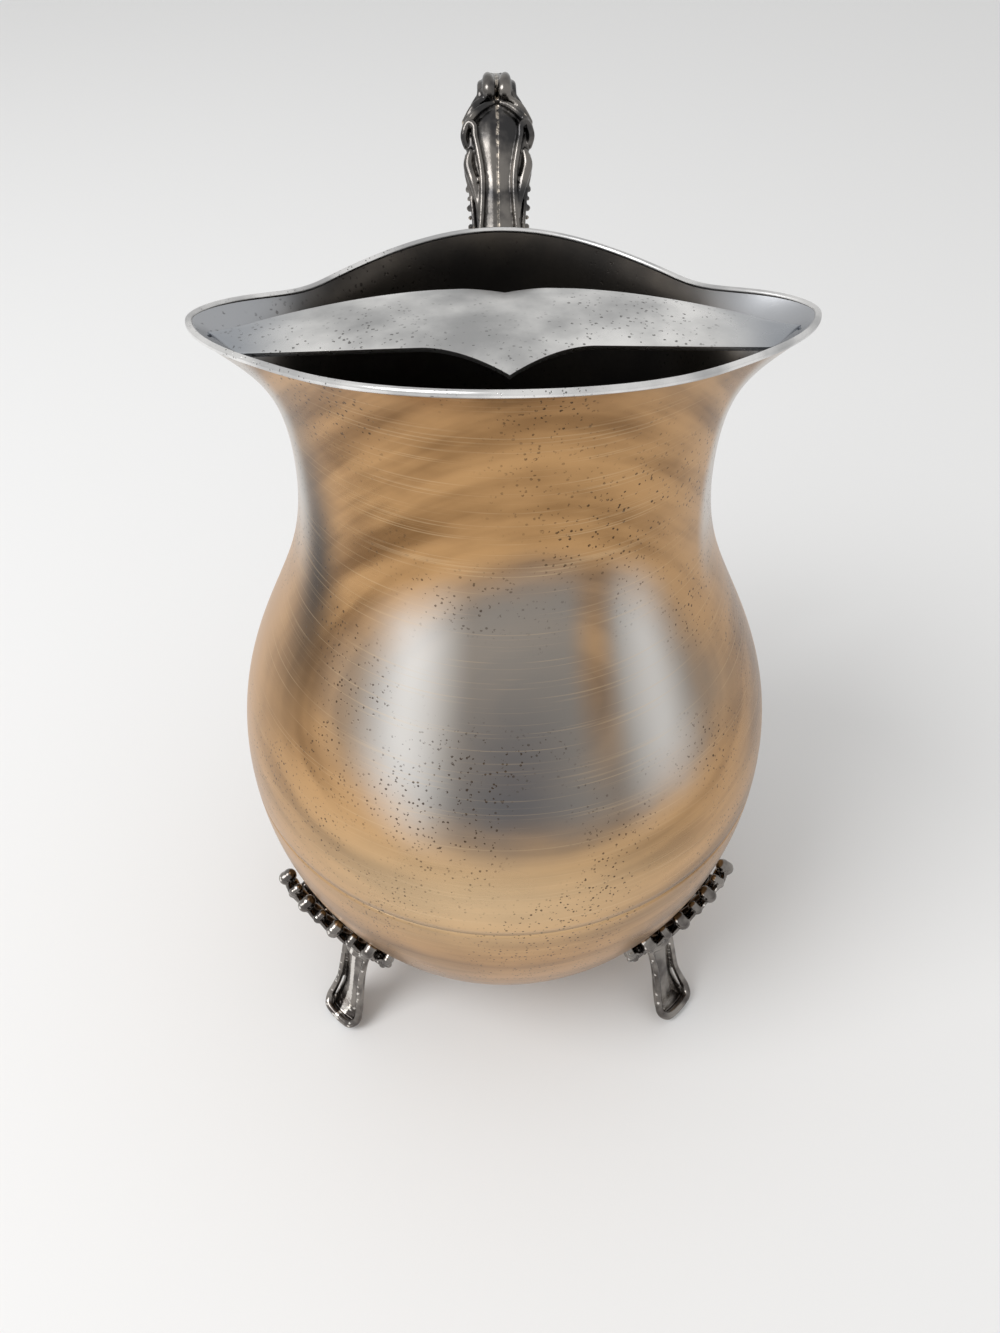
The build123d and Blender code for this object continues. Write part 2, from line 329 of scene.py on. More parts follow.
# Ice guard: an arched plate across the mouth, its pointed ends lapped on the wings
guardSizes = {
    "thickness": 1.0, "crest": 218.5, "endHeight": 214.0, "halfLength": 61.2,
    "frontReach": 26.4, "cornerRise": 4.6, "cornerX": 52.3, "pointReach": 11.6, "pointWidth": 17.0,
    "rearReach": 0.4, "rearFall": 10.8, "notch": 2.3, "notchWidth": 9.0, "rearFlat": 14.0,
    "columns": 240, "rows": 26, "roll": 0.7, "frontBend": 2.5, "pointBend": 1.8, "endBend": 0.5,
    "rearBend": 1.6, "notchBend": 1.5, "lap": 0.05, "edge": 0.35, "edgeSteps": 3,
}


def guardFront(x):
    g, x = guardSizes, abs(x)
    y = -g["frontReach"] + g["cornerRise"] * (x / g["cornerX"]) ** g["frontBend"]
    if x < g["pointWidth"]:
        y -= g["pointReach"] * (1 - x / g["pointWidth"]) ** g["pointBend"]
    if x > g["cornerX"]:
        share = (x - g["cornerX"]) / (g["halfLength"] - g["cornerX"])
        y += share * (guardRear(x) - y) * share ** g["endBend"]
    return y


def guardRear(x):
    g, x = guardSizes, abs(x)
    y = -g["rearReach"]
    if x > g["rearFlat"]:
        share = (x - g["rearFlat"]) / (g["halfLength"] - g["rearFlat"])
        y -= g["rearFall"] * share ** g["rearBend"]
    if x < g["notchWidth"]:
        y -= g["notch"] * (1 - x / g["notchWidth"]) ** g["notchBend"]
    return y


def guardHeight(x, y, across):
    # the arch, rolled down a little at the front and back edges, and lying on the wings at its ends
    g = guardSizes
    arch = g["crest"] - (g["crest"] - g["endHeight"]) * (x / g["halfLength"]) ** 2
    arch -= g["roll"] * (2 * across - 1) ** 4
    under = wingSurface(x, axisY + y)
    if under is None:
        return arch
    return max(arch, under + g["thickness"] + g["lap"])


def makeGuard():
    g = guardSizes
    verts, faces = [], []
    for i in range(g["columns"] + 1):
        x = g["halfLength"] * sin((2 * i / g["columns"] - 1) * pi / 2)
        front, rear = guardFront(x), guardRear(x)
        for j in range(g["rows"] + 1):
            across = j / g["rows"]
            y = front + (rear - front) * across
            verts.append((x, axisY + y, guardHeight(x, y, across)))
    wide = g["rows"] + 1
    for i in range(g["columns"]):
        for j in range(g["rows"]):
            a = i * wide + j
            faces.append((a, a + wide, a + wide + 1, a + 1))
    plate = addPiece("guardPlate", verts, faces)
    bm = openMesh(plate)
    bmesh.ops.remove_doubles(bm, verts=bm.verts, dist=2 * joinWithin)
    bm.to_mesh(plate.data)
    bm.free()
    thick = plate.modifiers.new("thick", "SOLIDIFY")
    thick.thickness = g["thickness"] * mm
    thick.offset = -1
    soft = plate.modifiers.new("soft", "BEVEL")
    soft.width = g["edge"] * mm
    soft.segments = g["edgeSteps"]
    soft.limit_method = "ANGLE"
    return baked("guardPlate", plate)


guardPlate = makeGuard()
print("guard made")


# The outside of the body by height, to seat cast pieces on it
def outerWall():
    run = []
    for poles in (bowlPoles(0), shoulderPoles(0), mouthPoles(180, 0)):
        run += alongPoles(poles, bodySizes["seatRings"])
    return sorted((height, radius) for radius, height in run)


wallRun = outerWall()
wallHeights = [height for height, _ in wallRun]


def wallRadius(height):
    i = min(max(bisect_left(wallHeights, height), 1), len(wallRun) - 1)
    (low, a), (high, b) = wallRun[i - 1], wallRun[i]
    share = min(max((height - low) / max(high - low, 1e-6), 0), 1)
    return a + (b - a) * share


# Cast pieces: strokes of changing thickness, melted together by a voxel remesh
castSizes = {
    "sides": 14, "steps": 6, "ballTurns": 14, "ballRings": 10, "handleVoxel": 0.34, "footVoxel": 0.3,
    "smoothing": 2, "smoothShare": 0.5, "seat": 0.04, "seam": 0.02,
}


def smoothRun(points):
    # a curve through every point, each a tuple of place and thickness
    run, steps = [], castSizes["steps"]
    for i in range(len(points) - 1):
        near = [points[min(max(i + k, 0), len(points) - 1)] for k in (-1, 0, 1, 2)]
        for k in range(steps):
            t = k / steps
            run.append(tuple(0.5 * (2 * b + (c - a) * t + (2 * a - 5 * b + 4 * c - d) * t * t
                                    + (3 * b - a - 3 * c + d) * t ** 3) for a, b, c, d in zip(*near)))
    return run + [tuple(points[-1])]


def freeAxis(run):
    # the axis that no part of the run follows closely
    steps = [(Vector(b[:3]) - Vector(a[:3])).normalized() for a, b in zip(run, run[1:])]
    axes = [Vector((1, 0, 0)), Vector((0, 1, 0)), Vector((0, 0, 1))]
    return min(axes, key=lambda axis: max(abs(axis.dot(step)) for step in steps))


def sweep(bm, run, side):
    # run holds x, y, z, half width along side, and half depth
    sides, rings = castSizes["sides"], []
    for i, (x, y, z, wide, deep) in enumerate(run):
        along = (Vector(run[min(i + 1, len(run) - 1)][:3]) - Vector(run[max(i - 1, 0)][:3])).normalized()
        a = (side - along * side.dot(along)).normalized()
        b = along.cross(a)
        centre, turns = Vector((x, y, z)), [2 * pi * k / sides for k in range(sides)]
        ring = [centre + a * wide * cos(t) + b * deep * sin(t) for t in turns]
        rings.append([bm.verts.new(point * mm) for point in ring])
    for low, high in zip(rings, rings[1:]):
        for k in range(sides):
            n = (k + 1) % sides
            bm.faces.new((low[k], low[n], high[n], high[k]))
    bm.faces.new(rings[0][::-1])
    bm.faces.new(rings[-1])


def ball(bm, place, radius):
    c, move = castSizes, Matrix.Translation(Vector(place) * mm)
    bmesh.ops.create_uvsphere(bm, u_segments=c["ballTurns"], v_segments=c["ballRings"],
                              radius=radius * mm, matrix=move)


def stroke(bm, points):
    # points hold x, y, z and a radius; both ends are round
    run = smoothRun(points)
    sweep(bm, [(*p[:3], p[3], p[3]) for p in run], freeAxis(run))
    for end in (run[0], run[-1]):
        ball(bm, end[:3], end[3])


def melted(name, bm, voxel):
    # one skin round all strokes, a little smoothed
    bmesh.ops.recalc_face_normals(bm, faces=bm.faces)
    mesh = bpy.data.meshes.new(name)
    bm.to_mesh(mesh)
    bm.free()
    rough = linked(name, mesh)
    skin = rough.modifiers.new("skin", "REMESH")
    skin.mode, skin.voxel_size = "VOXEL", voxel * mm
    soft = rough.modifiers.new("soft", "SMOOTH")
    soft.iterations, soft.factor = castSizes["smoothing"], castSizes["smoothShare"]
    return baked(name, rough)


def seated(bm):
    # whatever reaches into the body is drawn out to its surface
    for v in bm.verts:
        x, y, z = v.co.x / mm, v.co.y / mm - axisY, v.co.z / mm
        r, least = hypot(x, y), wallRadius(z) + castSizes["seat"]
        if bodySizes["baseHeight"] < z and r < least:
            v.co.x, v.co.y = x * least / r * mm, (y * least / r + axisY) * mm


def cutFlat(bm, place, normal):
    # what lies against the normal goes, and the cut is closed
    everything = bm.verts[:] + bm.edges[:] + bm.faces[:]
    bmesh.ops.bisect_plane(bm, geom=everything, plane_co=place, plane_no=normal, clear_inner=True)
    bmesh.ops.holes_fill(bm, edges=[e for e in bm.edges if e.is_boundary], sides=0)


# Handle: a scroll with leaf work on its upper part, cast in two halves
handleStations = [  # behind the axis, height, half width, half depth
    (47.5, 198.0, 7.4, 3.6), (54.8, 206.0, 6.2, 3.8), (60.5, 215.0, 6.0, 3.9), (64.0, 220.3, 6.9, 3.7),
    (67.0, 225.0, 8.1, 3.5), (70.2, 228.6, 7.2, 3.2), (73.6, 231.2, 4.6, 2.9), (81.5, 234.6, 4.0, 2.9),
    (93.4, 231.6, 4.2, 3.2), (104.0, 222.8, 4.9, 3.5), (110.2, 208.0, 5.8, 3.8), (113.0, 184.0, 6.3, 3.9),
    (110.6, 158.0, 6.0, 3.8), (101.4, 133.0, 5.4, 3.4), (88.9, 115.0, 4.8, 3.2), (80.0, 104.0, 5.4, 3.4),
    (73.0, 98.5, 6.6, 3.6),
]
handleRun = smoothRun(handleStations)
handleSteps = [0.0]
for before, after in zip(handleRun, handleRun[1:]):
    handleSteps.append(handleSteps[-1] + hypot(after[0] - before[0], after[1] - before[1]))


def onHandle(along, side, out):
    # a place by length along the scroll, to the side, and out from its middle line
    i = min(max(bisect_left(handleSteps, along), 1), len(handleRun) - 1)
    a, b = handleRun[i - 1], handleRun[i]
    share = (along - handleSteps[i - 1]) / (handleSteps[i] - handleSteps[i - 1])
    dy, dz = b[0] - a[0], b[1] - a[1]
    size = hypot(dy, dz)
    y, z = a[0] + dy * share - dz / size * out, a[1] + dz * share + dy / size * out
    return side, axisY + y, z


# each stroke: length along the scroll, side, out, radius
leafStrokes = [
    [(36.0, 6.0, 3.0, 0.8), (32.0, 5.0, 3.4, 0.8), (26.0, 4.1, 3.7, 0.8), (19.0, 4.2, 3.7, 0.75),
     (8.0, 5.2, 3.2, 0.7)],
    [(33.4, 8.0, 1.0, 0.8), (35.6, 8.5, 1.9, 0.95), (37.8, 7.4, 2.9, 0.95), (37.2, 5.9, 3.3, 0.85),
     (35.4, 5.7, 3.3, 0.7)],
    [(42.2, 0.9, 3.5, 0.6), (41.4, 3.4, 3.3, 0.85), (39.6, 6.2, 2.9, 0.95), (37.4, 8.2, 1.9, 0.9)],
    [(44.6, 1.1, 3.2, 0.6), (44.0, 3.4, 2.8, 0.85), (42.0, 6.0, 2.1, 0.95), (39.2, 8.2, 0.8, 0.9)],
    [(47.0, 1.5, 2.8, 0.5), (46.4, 3.7, 2.1, 0.8), (44.4, 5.6, 1.0, 0.85), (41.4, 7.4, -0.4, 0.8)],
    [(32.0, 6.8, 1.8, 0.9), (29.0, 7.4, 1.7, 1.45), (25.0, 6.4, 2.4, 1.3), (20.5, 5.4, 2.8, 0.8),
     (15.5, 5.0, 3.0, 0.45)],
    [(31.4, 7.9, 0.2, 0.6), (27.6, 8.0, 0.2, 0.7), (22.0, 6.9, 1.0, 0.65), (14.0, 6.3, 1.6, 0.55)],
    [(50.0, 4.2, 0.2, 0.6), (70.0, 4.3, 0.0, 0.7), (95.0, 5.6, 0.0, 0.8), (125.0, 6.3, 0.0, 0.85),
     (160.0, 5.9, 0.0, 0.8),
     (190.0, 4.9, 0.0, 0.7)],
    [(56.0, 1.4, 2.7, 0.5), (80.0, 1.8, 3.1, 0.7), (115.0, 2.2, 3.6, 0.8), (150.0, 2.0, 3.5, 0.75),
     (185.0, 1.4, 3.0, 0.5)],
    [(176.0, 4.6, 2.0, 0.5), (186.0, 5.6, 1.4, 1.1), (194.0, 5.4, 1.6, 1.0), (203.0, 4.2, 2.4, 0.6)],
    [(188.0, 5.2, 0.4, 0.6), (198.0, 6.4, 0.2, 1.2), (207.0, 6.6, 0.8, 1.0), (213.0, 5.4, 1.6, 0.7)],
]
beadRow = {"first": 10.0, "last": 28.0, "count": 9, "side": 6.9, "radius": 0.85,
           "shrink": 0.25, "out": 0.1}
# the two lobes of the leaf that curls forward on top: side, behind the axis, height, radius
thumbStrokes = [
    [(2.0, 84.5, 236.2, 0.8), (2.2, 80.5, 237.6, 1.2), (2.1, 76.6, 237.7, 1.6),
     (1.9, 74.2, 236.2, 1.95), (1.8, 74.0, 234.6, 1.5)],
    [(3.6, 84.0, 235.4, 0.7), (4.1, 79.0, 236.4, 0.85), (4.2, 75.6, 235.6, 0.85),
     (4.3, 73.6, 233.2, 0.8), (4.4, 71.4, 231.2, 0.7)],
]


def makeHandleHalf():
    bm = bmesh.new()
    base = [(0, axisY + y, z, wide, deep) for y, z, wide, deep in handleRun]
    sweep(bm, base, Vector((1, 0, 0)))
    for points in leafStrokes:
        stroke(bm, [(*onHandle(s, u, v), r) for s, u, v, r in points])
    for points in thumbStrokes:
        stroke(bm, [(u, axisY + y, z, r) for u, y, z, r in points])
    row = beadRow
    for i in range(row["count"]):
        share = i / (row["count"] - 1)
        radius = row["radius"] - row["shrink"] * (i % 2)
        along = row["first"] + (row["last"] - row["first"]) * share
        ball(bm, onHandle(along, row["side"] + share, row["out"]), radius)
    cast = melted("handleCast", bm, castSizes["handleVoxel"])
    bm = openMesh(cast)
    cutFlat(bm, (castSizes["seam"] * mm, 0, 0), (1, 0, 0))
    seated(bm)
    storeMesh(bm, cast)
    cast.name = cast.data.name = "handleRight"
    return cast


def mirrored(piece, name):
    bm = openMesh(piece)
    bmesh.ops.scale(bm, vec=(-1, 1, 1), verts=bm.verts)
    bmesh.ops.reverse_faces(bm, faces=bm.faces)
    mesh = bpy.data.meshes.new(name)
    bm.to_mesh(mesh)
    bm.free()
    return linked(name, mesh)


handleRight = makeHandleHalf()
handleLeft = mirrored(handleRight, "handleLeft")
print("handle made")

# Feet: an open palmette on the bowl over a leg that ends in a channelled toe
footSizes = {  # the palmette leans out from the bowl, further at its outer end
    "turn": 45, "petals": 8, "innerAngle": -12.0, "outerAngle": 20.5, "rib": 0.7, "tip": 1.75,
    "innerTip": 1.1, "largeTip": 1.25, "smallTip": 0.9, "spread": 1.5, "tipSpread": 0.6, "bulge": 0.3,
    "tipOut": (2.0, 5.2), "tipHeight": (38.5, 7.5), "tipArch": 0.6, "tipBack": (-1.6, 0.6),
    "band": 1.0, "bandOut": (4.4, 5.4), "bandHeight": 29.8, "bandRise": (4.0, 9.0), "bandMiddle": 0.38,
    "bandStart": 0.06, "bandShare": 0.9, "bandSteps": 8, "knot": 0.35,
    "liningOut": 0.45, "liningRise": 1.6, "liningBand": 1.5,
}
# behind each petal, at its foot, middle and tip: out, up, radius
petalBacking = [(-1.4, 0.6, 1.7), (-1.5, 0.0, 1.9), (-1.2, 0.0, 1.4)]
legStations = [  # reach, height, half width, half thickness
    (65.6, 31.0, 5.4, 1.9), (67.4, 24.0, 4.6, 1.6), (69.0, 17.0, 4.4, 1.5), (70.8, 10.0, 5.0, 1.4),
    (73.2, 4.2, 6.2, 1.3), (75.6, 1.5, 6.4, 1.2), (77.6, 0.9, 4.4, 1.1),
]
legEdge = [  # the rolled edge: reach, height, side, radius
    (66.8, 30.0, 4.9, 0.9), (69.4, 23.0, 4.4, 0.9), (71.6, 15.0, 4.6, 1.0), (73.6, 8.8, 5.8, 1.15),
    (75.6, 4.6, 6.5, 1.3), (77.6, 2.9, 5.2, 1.35), (78.1, 2.4, 2.6, 1.35), (78.2, 2.3, 0.0, 1.35),
]


def onBowl(angle, standOff, height):
    return around(angle, wallRadius(height) + standOff, height)


rootStrokes = [  # where the leg spreads on the bowl: side, reach, height, radius
    [(0, 65.2, 30.5, 3.4), (0, 66.8, 35.0, 2.0)],
    [(-4.4, 66.4, 30.4, 1.4), (0, 67.6, 30.0, 1.6), (4.4, 66.4, 30.4, 1.4)],
]


def leafAngle(share):
    return footSizes["innerAngle"] + (footSizes["outerAngle"] - footSizes["innerAngle"]) * share


def tipAt(share):
    # angle, distance from the bowl and height of a petal's tip
    f = footSizes
    height = f["tipHeight"][0] + f["tipHeight"][1] * sin(pi * f["tipArch"] * share)
    return leafAngle(share), f["tipOut"][0] + f["tipOut"][1] * share, height


def bandAt(share):
    # the same on the band that the petals stand on
    f, middle = footSizes, footSizes["bandMiddle"]
    away, (low, high) = share - middle, f["bandRise"]
    rise = low * (away / middle) ** 2 if away < 0 else high * (away / (1 - middle)) ** 2
    angle = leafAngle(f["bandStart"] + f["bandShare"] * share)
    return angle, f["bandOut"][0] + f["bandOut"][1] * share, f["bandHeight"] + rise


def addPetal(bm, i):
    f = footSizes
    share = i / (f["petals"] - 1)
    tip, foot = tipAt(share), bandAt(share)
    middle = [(a + b) / 2 for a, b in zip(tip, foot)]
    for way in (-1, 1):
        bulge = onBowl(middle[0] + way * f["spread"], middle[1] + f["bulge"], middle[2])
        end = onBowl(tip[0] + way * f["tipSpread"], tip[1], tip[2])
        stroke(bm, [(*place, f["rib"]) for place in (onBowl(*foot), bulge, end)])
    stroke(bm, [(*onBowl(angle, out + back, height + up), radius)
                for (angle, out, height), (back, up, radius) in zip((foot, middle, tip), petalBacking)])
    size = f["tip"] * (f["largeTip"] if i % 2 else f["smallTip"])
    back, up = f["tipBack"]
    ball(bm, onBowl(*tip), size)
    ball(bm, onBowl(tip[0], tip[1] + back, tip[2] + up), size)
    ball(bm, onBowl(*middle), f["innerTip"])
    ball(bm, onBowl(*foot), f["band"] + f["knot"])


def makeFoot():
    f, bm = footSizes, bmesh.new()
    leg = [(0, axisY - reach, z, wide, deep) for reach, z, wide, deep in smoothRun(legStations)]
    sweep(bm, leg, Vector((1, 0, 0)))
    for way in (-1, 1):
        stroke(bm, [(way * side, axisY - reach, z, r) for reach, z, side, r in legEdge])
    for i in range(f["petals"]):
        addPetal(bm, i)
    band = [bandAt(i / f["bandSteps"]) for i in range(f["bandSteps"] + 1)]
    stroke(bm, [(*onBowl(*place), f["band"]) for place in band])
    stroke(bm, [(*onBowl(angle, out * f["liningOut"], height + f["liningRise"]), f["band"] * f["liningBand"])
                for angle, out, height in band])
    for points in rootStrokes:
        stroke(bm, [(side, axisY - reach, z, r) for side, reach, z, r in points])
    cast = melted("footCast", bm, castSizes["footVoxel"])
    bm = openMesh(cast)
    seated(bm)
    cutFlat(bm, (0, 0, 0), (0, 0, 1))
    storeMesh(bm, cast)
    return cast


def turnedCopy(piece, name, turn):
    mesh = piece.data.copy()
    centre = Matrix.Translation((0, axisY * mm, 0))
    mesh.transform(centre @ Matrix.Rotation(radians(turn), 4, "Z") @ centre.inverted())
    return linked(name, mesh)


footCast = makeFoot()
frontRight = turnedCopy(footCast, "footFrontRight", footSizes["turn"])
frontLeft = mirrored(frontRight, "footFrontLeft")
feet = {
    "foot_front_right": frontRight, "foot_front_left": frontLeft,
    "foot_rear_left": turnedCopy(frontRight, "footRearLeft", 180),
    "foot_rear_right": turnedCopy(frontLeft, "footRearRight", 180),
}
bpy.data.objects.remove(footCast)
print("feet made")


# Look: shared shader groups, then one material per kind of metal
def put(tree, kind, given=None, **settings):
    # a node with its settings, and its inputs linked or set
    node = tree.nodes.new(kind)
    for key, value in settings.items():
        setattr(node, key, value)
    for key, value in (given or {}).items():
        if isinstance(value, bpy.types.NodeSocket):
            tree.links.new(value, node.inputs[key])
        else:
            node.inputs[key].default_value = value
    return node


def calc(tree, operation, a, b=0.0):
    return put(tree, "ShaderNodeMath", {0: a, 1: b}, operation=operation).outputs[0]


def times(tree, a, b):
    return calc(tree, "MULTIPLY", a, b)


def plus(tree, a, b):
    return calc(tree, "ADD", a, b)


def minus(tree, a, b):
    return calc(tree, "SUBTRACT", a, b)


def between(tree, value, low, high):
    given = {"Value": value, "From Min": low, "From Max": high}
    return put(tree, "ShaderNodeMapRange", given, interpolation_type="SMOOTHSTEP").outputs["Result"]


def blend(tree, amount, a, b):
    return put(tree, "ShaderNodeMix", {0: amount, 6: a, 7: b}, data_type="RGBA").outputs[2]


def noise(tree, place, scale, detail=4.0):
    given = {"Vector": place, "Scale": scale, "Detail": detail}
    return put(tree, "ShaderNodeTexNoise", given).outputs["Fac"]


def newGroup(name, inputs):
    group = bpy.data.node_groups.new(name, "ShaderNodeTree")
    for label, kind, value in inputs:
        socket = group.interface.new_socket(label, in_out="INPUT", socket_type=kind)
        if value is not None:
            socket.default_value = value
    group.interface.new_socket("Mask", in_out="OUTPUT", socket_type="NodeSocketFloat")
    return group, group.nodes.new("NodeGroupInput"), group.nodes.new("NodeGroupOutput")


def pitGroup():
    # small round pits in loose clusters
    group, given, result = newGroup("pits", [
        ("Place", "NodeSocketVector", None), ("Scale", "NodeSocketFloat", 900.0),
        ("Size", "NodeSocketFloat", 0.24)])
    place = given.outputs["Place"]
    cells = put(group, "ShaderNodeTexVoronoi", {"Vector": place, "Scale": given.outputs["Scale"]})
    dot = calc(group, "LESS_THAN", cells.outputs["Distance"], given.outputs["Size"])
    few = between(group, noise(group, place, 1500.0, 1.0), 0.46, 0.56)
    cluster = between(group, noise(group, place, 34.0, 3.0), 0.42, 0.6)
    group.links.new(times(group, times(group, dot, few), cluster), result.inputs["Mask"])
    return group


def scratchGroup():
    # fine lines that follow the first axis of the place given
    group, given, result = newGroup("scratches", [
        ("Place", "NodeSocketVector", None), ("Stretch", "NodeSocketFloat", 40.0)])
    squeeze = given.outputs["Stretch"]
    stretch = put(group, "ShaderNodeCombineXYZ", {0: 1.0, 1: squeeze, 2: squeeze})
    sizes = {0: given.outputs["Place"], 1: stretch.outputs[0]}
    long = put(group, "ShaderNodeVectorMath", sizes, operation="MULTIPLY")
    lines = between(group, noise(group, long.outputs[0], 60.0, 3.0), 0.56, 0.7)
    group.links.new(lines, result.inputs["Mask"])
    return group


def tarnishGroup():
    # soft clouds of tarnish
    group, given, result = newGroup("tarnish", [
        ("Place", "NodeSocketVector", None), ("Scale", "NodeSocketFloat", 30.0),
        ("Low", "NodeSocketFloat", 0.4), ("High", "NodeSocketFloat", 0.65)])
    cloud = noise(group, given.outputs["Place"], given.outputs["Scale"], 8.0)
    mask = between(group, cloud, given.outputs["Low"], given.outputs["High"])
    group.links.new(mask, result.inputs["Mask"])
    return group


def edgeGroup():
    # 1 on raised edges, 0 in the recesses
    group, given, result = newGroup("edgeWear", [
        ("Low", "NodeSocketFloat", 0.42), ("High", "NodeSocketFloat", 0.56)])
    sharp = put(group, "ShaderNodeNewGeometry").outputs["Pointiness"]
    mask = between(group, sharp, given.outputs["Low"], given.outputs["High"])
    group.links.new(mask, result.inputs["Mask"])
    return group


groups = {
    "pits": pitGroup(), "scratches": scratchGroup(), "tarnish": tarnishGroup(), "edgeWear": edgeGroup(),
}
bumpStrength = 0.35


def filled(tree, name, given):
    return put(tree, "ShaderNodeGroup", given, node_tree=groups[name]).outputs["Mask"]


def newMetal(name):
    material = bpy.data.materials.new(name)
    material.use_nodes = True
    tree = material.node_tree
    return material, tree, tree.nodes["Principled BSDF"], put(tree, "ShaderNodeTexCoord").outputs["Object"]


def finish(tree, shader, colour, rough, height, depth):
    shader.inputs["Metallic"].default_value = 1.0
    tree.links.new(colour, shader.inputs["Base Color"])
    tree.links.new(rough, shader.inputs["Roughness"])
    bump = put(tree, "ShaderNodeBump", {"Height": height, "Strength": bumpStrength,
                                        "Distance": depth * mm})
    tree.links.new(bump.outputs["Normal"], shader.inputs["Normal"])


def bodyPlaces(tree, place):
    # azimuth from the spout and height of a place on the body
    axes = put(tree, "ShaderNodeSeparateXYZ", {0: place})
    front = minus(tree, axisY * mm, axes.outputs["Y"])
    return calc(tree, "ARCTAN2", axes.outputs["X"], front), axes.outputs["Z"]


def hump(tree, value, middle, width):
    # 1 at the middle, falling to 0 at the width
    return between(tree, calc(tree, "ABSOLUTE", minus(tree, value, middle)), width, 0.0)


# azimuths are radians from the spout and heights metres; pairs are a middle and a width, or two ends
bodyLook = {
    "goldDark": (0.21, 0.11, 0.043, 1), "goldLight": (0.54, 0.315, 0.14, 1),
    "goldPale": (0.84, 0.63, 0.39, 1), "greyDark": (0.12, 0.13, 0.145, 1),
    "greyMid": (0.27, 0.255, 0.235, 1), "highlightPale": (0.84, 0.83, 0.81, 1),
    "neckSheen": (0.66, 0.65, 0.63, 1), "streakReflection": (0.05, 0.03, 0.016, 1), "pit": (0.05, 0.03, 0.018, 1),
    "cloudScale": 22.0, "ringScale": 110.0, "ringLean": 0.02, "toneShares": (0.3, 0.55, 0.15),
    "toneRange": (0.34, 0.6), "archScale": 3.2, "archTurn": 0.25, "archFade": (1.6, 0.95),
    "patchAzimuth": 0.12, "patchHeight": 0.148, "patchWidth": 0.86, "patchTaper": 7.0, "patchRise": 0.034,
    "patchEdge": (1.2, 0.62), "patchFray": 0.45, "patchShare": 0.9, "patchRough": 0.1,
    "partingAzimuth": (0.36, 0.14), "partingHeight": (0.16, 0.05), "partingShare": 0.7,
    "highlightLeft": (-0.42, 0.28), "highlightRight": (0.62, 0.26), "highlightRightShare": 0.8,
    "darkReflectionAzimuth": (0.0, 0.34), "darkReflectionHeight": (0.128, 0.034),
    "tableReflectionAzimuth": (-0.12, 1.1), "tableReflectionHeight": (0.096, 0.03), "tableReflectionShare": 0.6,
    "flankFront": (1.02, 1.16), "flankBack": (1.8, 1.4), "flankHeight": (0.150, 0.178), "flankShare": 0.75,
    "streakReflectionAzimuth": (-1.02, 0.26), "streakReflectionHeight": (0.165, 0.062), "streakReflectionTone": (0.2, 0.42),
    "pitScale": 820.0, "pitSize": 0.27, "pitShare": 0.85, "scratchStretch": 30.0, "scratchShare": 0.22,
    "scratchRough": 0.06, "cloudRough": 0.18, "rough": 0.2, "scratchDepth": 0.12, "bumpDepth": 0.12,
}


